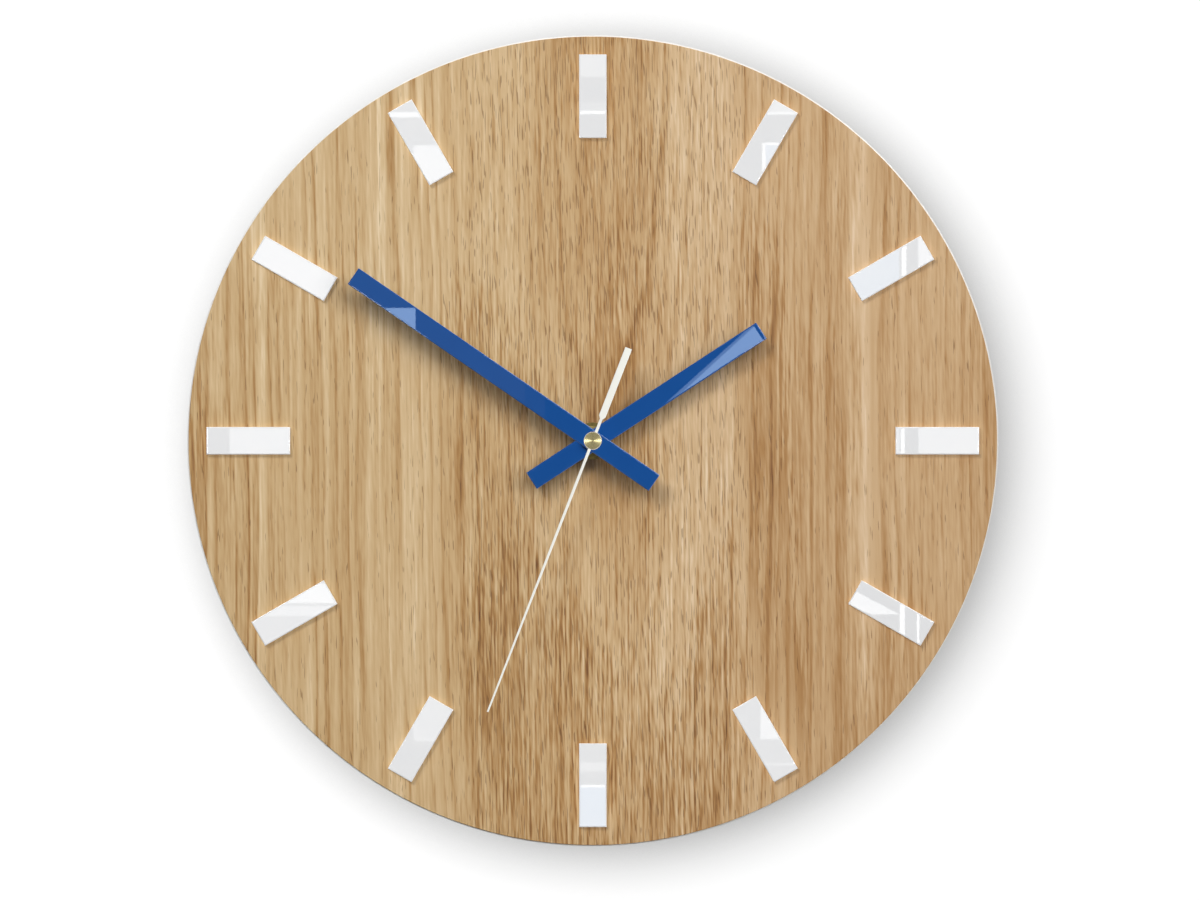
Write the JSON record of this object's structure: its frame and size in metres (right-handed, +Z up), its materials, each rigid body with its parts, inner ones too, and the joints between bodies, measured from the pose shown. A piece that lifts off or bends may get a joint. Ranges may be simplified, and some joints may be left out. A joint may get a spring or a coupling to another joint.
{
  "type": "wall clock",
  "caption": "Round wall clock with an oak-veneered dial, white acrylic hour bars, blue acrylic hands, a thin pale second hand and a geared battery quartz movement.",
  "frame": {"origin": "on the hands' axis, on the flat back of the rear cover that rests on the wall", "axes": "+Z up towards twelve o'clock, +Y into the wall, so the dial faces -Y; +X towards three o'clock"},
  "size_m": [0.33, 0.0384, 0.33],
  "materials": {
    "white_core": "painted white fibreboard core, satin",
    "oak": "oiled oak veneer, straight grain, satin",
    "white_acrylic": "polished white acrylic",
    "blue_acrylic": "polished dark blue acrylic",
    "pale_paint": "off-white paint on thin aluminium",
    "brass": "turned brass, fine concentric marks",
    "steel": "plain steel",
    "iron": "soft iron lamination",
    "copper": "enamelled copper wire",
    "ferrite": "sintered ferrite",
    "epoxy": "black epoxy",
    "rubber": "matt black rubber",
    "black_plastic": "fine-textured moulded plastic",
    "white_plastic": "moulded acetal",
    "board_green": "solder-masked circuit board",
    "cell_jacket": "plain printed jacket on a steel can"
  },
  "bodies": {
    "root": {"circuit_board": "board_green", "clock_chip": "epoxy", "coil_bobbin": "white_plastic", "coil_core": "iron", "coil_winding": "copper", "contact_negative": "brass", "contact_positive": "brass", "dial_core": "white_core", "hanger_bracket": "steel", "hex_nut": "brass", "hour_marker_01": "white_acrylic", "hour_marker_02": "white_acrylic", "hour_marker_03": "white_acrylic", "hour_marker_04": "white_acrylic", "hour_marker_05": "white_acrylic", "hour_marker_06": "white_acrylic", "hour_marker_07": "white_acrylic", "hour_marker_08": "white_acrylic", "hour_marker_09": "white_acrylic", "hour_marker_10": "white_acrylic", "hour_marker_11": "white_acrylic", "hour_marker_12": "white_acrylic", "movement_case": "black_plastic", "oak_veneer": "oak", "plate_screw_1": "steel", "plate_screw_2": "steel", "plate_screw_3": "steel", "plate_screw_4": "steel", "quartz_crystal": "steel", "rear_cover": "black_plastic", "rubber_gasket": "rubber", "stator_plate": "iron", "threaded_bush": "brass", "train_bridge": "white_plastic", "washer": "brass"},
    "battery": {"battery_cell": "cell_jacket", "battery_terminal": "steel"},
    "minute": {"minute_wheel": "brass", "minute_hand": "blue_acrylic", "minute_hand_bush": "brass"},
    "hour": {"hour_wheel": "brass", "hour_hand": "blue_acrylic", "hour_hand_bush": "brass"},
    "second": {"seconds_arbor": "steel", "seconds_wheel": "white_plastic", "second_hand": "pale_paint", "second_hand_boss": "brass"},
    "third": {"third_wheel": "white_plastic"},
    "intermediate": {"intermediate_wheel": "white_plastic"},
    "rotor": {"rotor_arbor": "steel", "rotor_magnet": "ferrite"},
    "motion": {"motion_wheel": "white_plastic"},
    "knob": {"setting_knob": "white_plastic"}
  },
  "joints": [
    {"name": "minute_turn", "type": "hinge", "parent": "root", "child": "minute", "pos_m": [0, 0, 0], "axis": [0, 1, 0], "continuous": true},
    {"name": "hour_turn", "type": "hinge", "parent": "root", "child": "hour", "pos_m": [0, 0, 0], "axis": [0, 1, 0], "continuous": true},
    {"name": "second_turn", "type": "hinge", "parent": "root", "child": "second", "pos_m": [0, 0, 0], "axis": [0, 1, 0], "continuous": true},
    {"name": "third_turn", "type": "hinge", "parent": "root", "child": "third", "pos_m": [-0.00663, 0, 0.00382], "axis": [0, 1, 0], "continuous": true},
    {"name": "intermediate_turn", "type": "hinge", "parent": "root", "child": "intermediate", "pos_m": [0.00624, 0, 0.0036], "axis": [0, 1, 0], "continuous": true},
    {"name": "rotor_turn", "type": "hinge", "parent": "root", "child": "rotor", "pos_m": [0.01216, 0, 0.00575], "axis": [0, 1, 0], "continuous": true},
    {"name": "motion_turn", "type": "hinge", "parent": "root", "child": "motion", "pos_m": [0, 0, 0.0072], "axis": [0, 1, 0], "continuous": true},
    {"name": "knob_turn", "type": "hinge", "parent": "root", "child": "knob", "pos_m": [0, 0, 0.0144], "axis": [0, 1, 0], "continuous": true},
    {"name": "battery_slide", "type": "slide", "parent": "root", "child": "battery", "axis": [0, 1, 0], "range_m": [0, 0.03]}
  ],
  "couplings": [
    {"joint": "hour_turn", "follows": "minute_turn", "ratio": 0.083333},
    {"joint": "second_turn", "follows": "minute_turn", "ratio": 60},
    {"joint": "third_turn", "follows": "minute_turn", "ratio": -8},
    {"joint": "intermediate_turn", "follows": "minute_turn", "ratio": -300},
    {"joint": "rotor_turn", "follows": "minute_turn", "ratio": 1800},
    {"joint": "motion_turn", "follows": "minute_turn", "ratio": -0.33333},
    {"joint": "knob_turn", "follows": "minute_turn", "ratio": 1}
  ]
}
